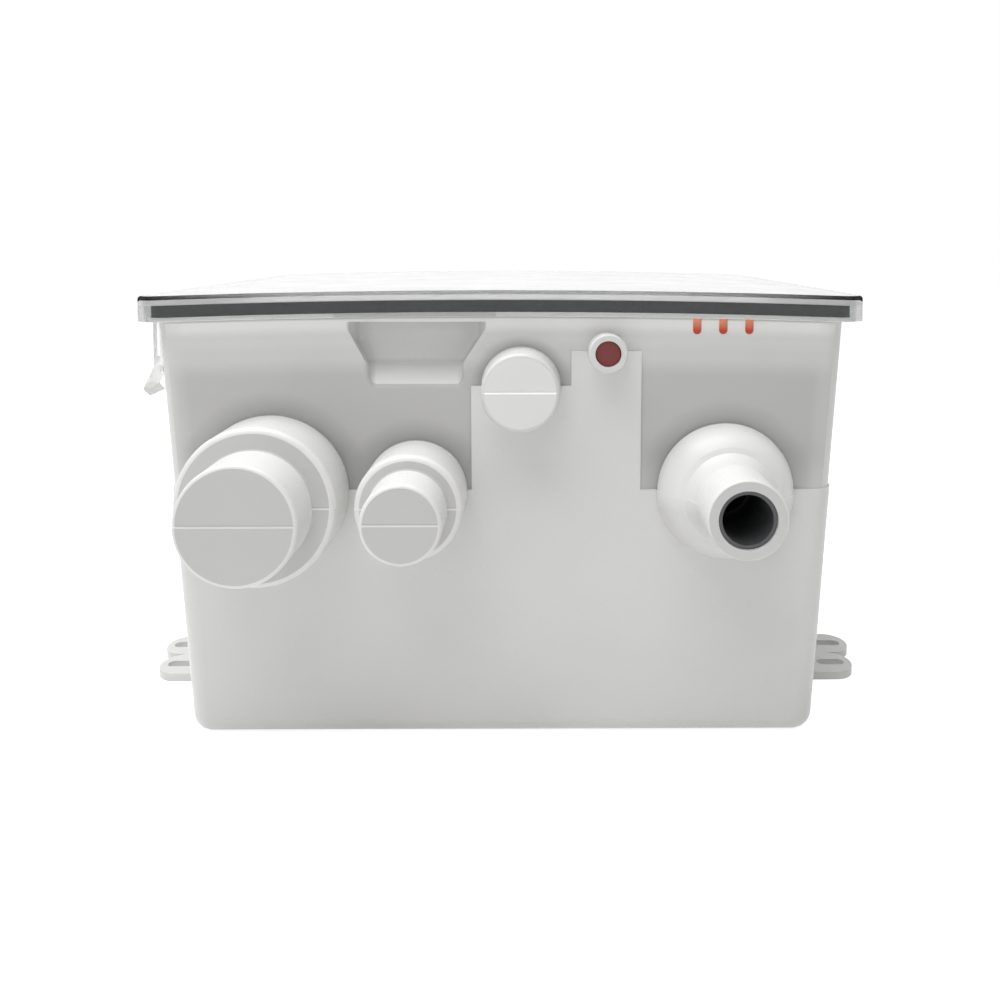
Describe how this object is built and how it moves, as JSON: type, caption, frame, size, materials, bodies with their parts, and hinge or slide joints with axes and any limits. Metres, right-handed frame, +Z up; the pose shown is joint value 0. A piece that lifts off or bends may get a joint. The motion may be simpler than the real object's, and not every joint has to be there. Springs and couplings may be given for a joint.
{
  "type": "shower sump pump",
  "caption": "Moulded sump tub with hose inlets on the front wall, a hinged clear lid over a gasket, and a cartridge pump, float switch, strainer basket and check valve inside.",
  "frame": {"origin": "on the underside, at the middle of the tub's footprint; the base rests on Z = 0", "axes": "+X along the long side towards the outlet end, -Y out of the front wall that carries the hose ports, +Z up towards the lid"},
  "size_m": [0.29, 0.2217, 0.159],
  "materials": {
    "tub_white": "moulded light grey white, satin",
    "black_rubber": "matte",
    "clear_lid": "clear, lightly hazed",
    "dark_red": "satin",
    "keeper_red": "satin",
    "grey_plastic": "satin",
    "steel": "satin",
    "hose_black": "satin",
    "dark_plastic": "satin",
    "cartridge_blue": "satin",
    "plated_can": "zinc plated",
    "ferrite": "matte",
    "carbon": "matte",
    "bronze": "oiled",
    "laminations": "matte",
    "copper_wire": "varnished",
    "copper_bar": "turned",
    "impeller_grey": "satin",
    "float_blue": "satin",
    "capsule_glass": "clear",
    "basket_grey": "satin",
    "mesh_steel": "woven"
  },
  "bodies": {
    "tub_body": {"tub": "tub_white", "rim_gasket": "black_rubber", "valve_keeper": "keeper_red", "valve_body": "dark_plastic", "valve_ring": "black_rubber", "valve_pin": "steel", "discharge_hose": "hose_black", "hose_clamp_pump": "steel", "hose_clamp_valve": "steel", "clamp_screws": "steel", "strainer_base": "dark_plastic", "pump_screws": "steel", "volute_housing": "dark_plastic", "switch_base": "grey_plastic", "switch_screws": "steel", "switch_pin": "steel"},
    "lid_cover": {"lid": "clear_lid"},
    "latch_front_arm": {"latch_front": "clear_lid"},
    "latch_rear_arm": {"latch_rear": "clear_lid"},
    "plug": {"cable_plug": "dark_red"},
    "flap": {"valve_flap": "black_rubber"},
    "cartridge": {"cartridge_shell": "cartridge_blue", "cartridge_cap": "dark_plastic", "cartridge_ring": "black_rubber", "motor_can": "plated_can", "field_magnets": "ferrite", "brush_plate": "grey_plastic", "carbon_brushes": "carbon", "lower_bearing": "bronze", "upper_bearing": "bronze", "shaft_seal": "black_rubber"},
    "rotor": {"motor_shaft": "steel", "armature_core": "laminations", "armature_windings": "copper_wire", "commutator": "copper_bar", "impeller": "impeller_grey", "impeller_nut": "bronze"},
    "float": {"switch_float": "float_blue", "switch_capsule": "capsule_glass"},
    "basket": {"basket_floor": "basket_grey", "basket_front": "basket_grey", "basket_back": "basket_grey", "basket_ends": "basket_grey", "basket_mesh": "mesh_steel"}
  },
  "joints": [
    {"name": "lid_hinge", "type": "hinge", "parent": "tub_body", "child": "lid_cover", "pos_m": [0.1216, 0, 0.1452], "axis": [0, 1, 0], "range_deg": [0, 95]},
    {"name": "latch_front_hinge", "type": "hinge", "parent": "lid_cover", "child": "latch_front_arm", "pos_m": [-0.1232, -0.064, 0.1512], "axis": [0, 1, 0], "range_deg": [-3, 14], "stiffness_Nm_per_rad": 0.02},
    {"name": "latch_rear_hinge", "type": "hinge", "parent": "lid_cover", "child": "latch_rear_arm", "pos_m": [-0.1232, 0.064, 0.1512], "axis": [0, 1, 0], "range_deg": [-3, 14], "stiffness_Nm_per_rad": 0.02},
    {"name": "plug_pull", "type": "slide", "parent": "tub_body", "child": "plug", "axis": [0, -1, 0], "range_m": [0, 0.02]},
    {"name": "flap_hinge", "type": "hinge", "parent": "tub_body", "child": "flap", "pos_m": [0.0772, -0.0837, 0.0984], "axis": [-1, 0, 0], "range_deg": [0, 50]},
    {"name": "cartridge_twist", "type": "hinge", "parent": "tub_body", "child": "cartridge", "pos_m": [0.0577, 0.044, 0.045], "axis": [0, 0, 1], "range_deg": [0, 30]},
    {"name": "rotor_spin", "type": "hinge", "parent": "cartridge", "child": "rotor", "pos_m": [0.0577, 0.044, 0.045], "axis": [0, 0, 1], "continuous": true},
    {"name": "float_hinge", "type": "hinge", "parent": "tub_body", "child": "float", "pos_m": [-0.0925, 0.042, 0.0175], "axis": [0, -1, 0], "range_deg": [0, 45]},
    {"name": "basket_lift", "type": "slide", "parent": "tub_body", "child": "basket", "axis": [0, 0, 1], "range_m": [0, 0.025]}
  ]
}
